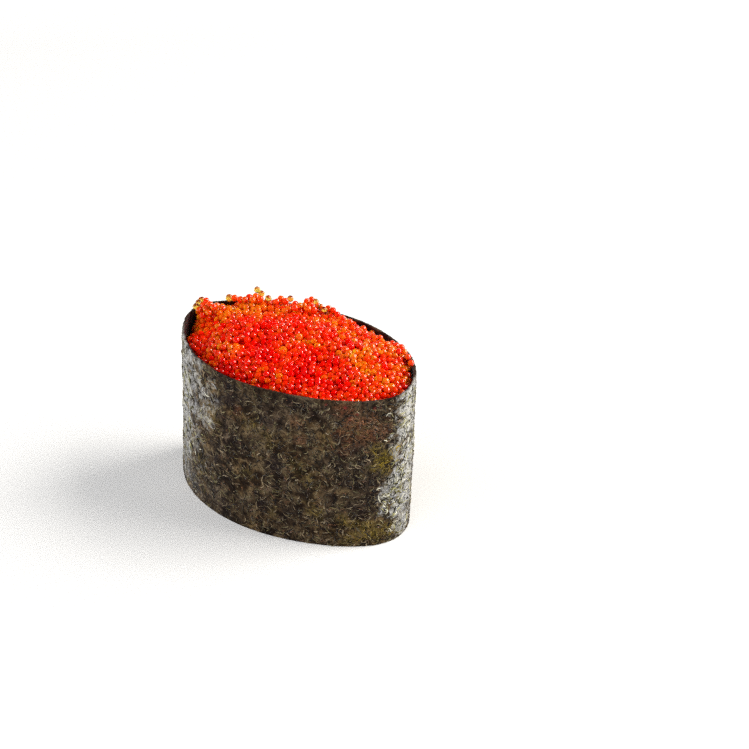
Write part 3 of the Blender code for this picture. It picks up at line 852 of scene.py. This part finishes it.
def build_roe():
    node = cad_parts["tobiko"]
    heap = Heap(node)
    centres, radii = pack_eggs(heap, 5, 0.66, 0.070, 3.1, 0.59, LOOSE)
    rng = np.random.default_rng(77)
    below = heap.read(heap.top, centres[:, :2]) - centres[:, 2] - radii
    top = below < 0.75
    # A few are missing from the top layer, so that those under them show.
    kept = ~((below < 0.30) & (rng.random(len(centres)) < 0.04))
    centres, radii, top = centres[kept], radii[kept], top[kept]
    warm = warmth(centres, rng)
    painted_shade = painted_shade_at(centres, heap.read(heap.wall, centres[:, :2]))
    # Where shade is painted on the eggs, they are also made more orange.
    warm = np.clip(warm + 0.24 * (1 - painted_shade), 0, 1)
    material, soft = roe_material("roe_wet"), roe_material("roe_soft", gloss=0.12)
    near, far = ball(3), ball(2)
    # The wet ones glint, and the others are sunk in their film and hardly do.
    across = 0.784 * centres[:, 0] + 0.621 * centres[:, 1]
    wet = rng.random(len(centres)) < 0.24 + 0.30 * warm + 0.012 * across + 0.26 * smooth((-across - 5) / 9)
    kinds = [
        ("roe_red_soft", (warm < 0.5) & ~wet, soft), ("roe_orange_soft", (warm >= 0.5) & ~wet, soft),
        ("roe_red_wet", (warm < 0.5) & wet, material), ("roe_orange_wet", (warm >= 0.5) & wet, material),
    ]
    for k, (name, chosen, look) in enumerate(kinds):
        chosen = top & chosen
        egg_mesh(name, centres[chosen], radii[chosen], warm[chosen], near, 100 + k, look, painted_shade=painted_shade[chosen])
    egg_mesh("roe_under", centres[~top], radii[~top], 0.6 * warm[~top], far, 110, soft, painted_shade=painted_shade[~top])
    # Those that stand against the light are clear; those in the clump and along the right are as wet as the rest.
    loose_warm = np.clip(rng.normal(0.66, 0.22, len(LOOSE)), 0, 1)
    clear = np.isin(np.arange(len(LOOSE)), CLEAR)
    egg_mesh("roe_loose_clear", LOOSE[clear, :3], LOOSE[clear, 3], loose_warm[clear], near, 120, roe_material("roe_clear", 0.68), clear=True)
    egg_mesh("roe_loose_wet", LOOSE[~clear, :3], LOOSE[~clear, 3], 0.35 + 0.65 * loose_warm[~clear], near, 121, material)

    # The core under the eggs, from the CAD heap's own points.
    mesh = node.data
    points = np.array([v.co for v in mesh.vertices]) / MM
    mesh.calc_loop_triangles()
    tris = np.array([tuple(t.vertices) for t in mesh.loop_triangles])
    wall = heap.read(heap.wall, points[:, :2])
    inward = heap.read(heap.wall_slope, points[:, :2])
    inward /= np.linalg.norm(inward, axis=1, keepdims=True) + 1e-9
    top_here = heap.read(heap.top, points[:, :2])
    upper = points[:, 2] > top_here - 3.0
    points[upper, 2] -= 1.25
    side = smooth((1.6 - wall) / 1.6) * smooth((points[:, 2] - 23.0) / 3.0)
    points[:, :2] += inward * (1.1 * side)[:, None]
    core = new_mesh("roe_core", points, tris)
    core.data.materials.append(core_material())
    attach(core, "root")
    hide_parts("tobiko")
    return heap


# ---------------------------------------------------------------- the rice
def build_rice():
    rng = np.random.default_rng(9)
    material = rice_material()
    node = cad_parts["rice"]
    mesh = node.data
    points = np.array([v.co for v in mesh.vertices]) / MM
    mesh.calc_loop_triangles()
    tris = np.array([tuple(t.vertices) for t in mesh.loop_triangles])
    points[:, 2] = np.maximum(points[:, 2], 1.15)
    centre = points[:, :2].mean(0)
    points[:, :2] = centre + (points[:, :2] - centre) * 0.985
    core = new_mesh("rice_core", points, tris)
    core.data.materials.append(material)
    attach(core, "root")
    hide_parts("rice")

    v, f = ball(3)
    # One grain: long, blunt, slightly bent, with the hollow where its germ was.
    grain = v * np.array([2.55, 1.28, 1.12])
    grain[:, 2] += 0.045 * grain[:, 0] ** 2 - 0.12
    hollow = np.exp(-(((grain[:, 0] - 2.2) / 0.7) ** 2 + ((grain[:, 1] - 0.6) / 0.6) ** 2))
    grain[:, :] *= (1 - 0.16 * hollow)[:, None]
    centres = []
    t = np.linspace(0, 2 * math.pi, 360, endpoint=False)
    rim = oval(t) - outward(t) * 2.3 + middle(np.zeros(360))
    from_middle = np.linalg.norm(rim - middle(np.zeros(1)), axis=1)
    angles = np.arctan2(*(rim - middle(np.zeros(1))).T[::-1])
    order = np.argsort(angles)
    tries = 0
    while len(centres) < 210 and tries < 9000:
        tries += 1
        q = np.array([rng.uniform(-25, 25), rng.uniform(-16, 16)])
        reach = np.interp(math.atan2(q[1] - middle(0.0)[1], q[0] - middle(0.0)[0]), angles[order], from_middle[order], period=2 * math.pi)
        if np.linalg.norm(q - middle(0.0)) > reach - 0.2:
            continue
        if centres and np.min(np.linalg.norm(np.array(centres)[:, :2] - q, axis=1)) < 2.15:
            continue
        centres.append([q[0], q[1], rng.uniform(1.15, 1.6)])
    centres = np.array(centres)
    n = len(centres)
    yaw, roll, pitch = rng.uniform(0, 2 * math.pi, n), rng.normal(0, 0.5, n), rng.normal(0, 0.22, n)
    all_points = []
    for k in range(n):
        turn = Matrix.Rotation(yaw[k], 3, "Z") @ Matrix.Rotation(pitch[k], 3, "Y") @ Matrix.Rotation(roll[k], 3, "X")
        g = grain * rng.uniform(0.88, 1.08) @ np.array(turn).T
        away = (centres[k, :2] - middle(0.0))
        g = g + centres[k]
        g[:, 2] = np.where(g[:, 2] < 0.35, 0.35 - 0.32 * np.tanh((0.35 - g[:, 2]) / 0.6), g[:, 2])
        d = g[:, :2] - middle(0.0)
        reach = np.interp(np.arctan2(d[:, 1], d[:, 0]), angles[order], from_middle[order] + 1.45, period=2 * math.pi)
        length = np.linalg.norm(d, axis=1)
        g[:, :2] = middle(0.0) + d * np.minimum(1.0, reach / np.maximum(length, 1e-6))[:, None]
        all_points.append(g)
    faces = (np.arange(n)[:, None, None] * len(v) + f[None]).reshape(-1, 3)
    grains = new_mesh("rice_grains", np.concatenate(all_points), faces)
    grains.data.materials.append(material)
    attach(grains, "root")


make_stage()
build_nori()
SHREDS = shred_material()
DARK_SHREDS = [(0.010, 0.008, 0.008), (0.014, 0.011, 0.009), (0.024, 0.017, 0.012)]
BROWN_SHREDS = [(0.095, 0.068, 0.040), (0.120, 0.090, 0.052), (0.075, 0.060, 0.034), (0.090, 0.078, 0.036), (0.110, 0.060, 0.034)]
FIBRES = [(0.300, 0.230, 0.140), (0.200, 0.145, 0.085), (0.130, 0.092, 0.052), (0.150, 0.120, 0.052), (0.014, 0.010, 0.009), (0.010, 0.007, 0.009), (0.024, 0.017, 0.012)]
LIGHT_SHREDS = [(0.320, 0.250, 0.160), (0.240, 0.185, 0.110), (0.190, 0.150, 0.085), (0.250, 0.215, 0.110), (0.190, 0.160, 0.075), (0.220, 0.105, 0.055)]
# Near-black slivers, partly painted shade between the fibres.
build_shreds("nori_shreds_dark", 2600, 47, (0.7, 2.1), (0.16, 0.36), (0.03, 0.09), 0.10, DARK_SHREDS, pull_to_pale=-0.9)
build_shreds("nori_shreds_brown", 3400, 43, (0.6, 1.9), (0.15, 0.32), (0.03, 0.09), 0.16, BROWN_SHREDS)
build_shreds("nori_shreds_light", 2600, 42, (0.5, 1.7), (0.14, 0.27), (0.03, 0.10), 0.24, LIGHT_SHREDS, steps=5)
build_shreds("nori_fibres", 3100, 44, (1.0, 2.5), (0.17, 0.32), (0.05, 0.13), 0.22, FIBRES, steps=6, bending=1.2, pull_to_pale=0.4)
build_roe()
build_rice()
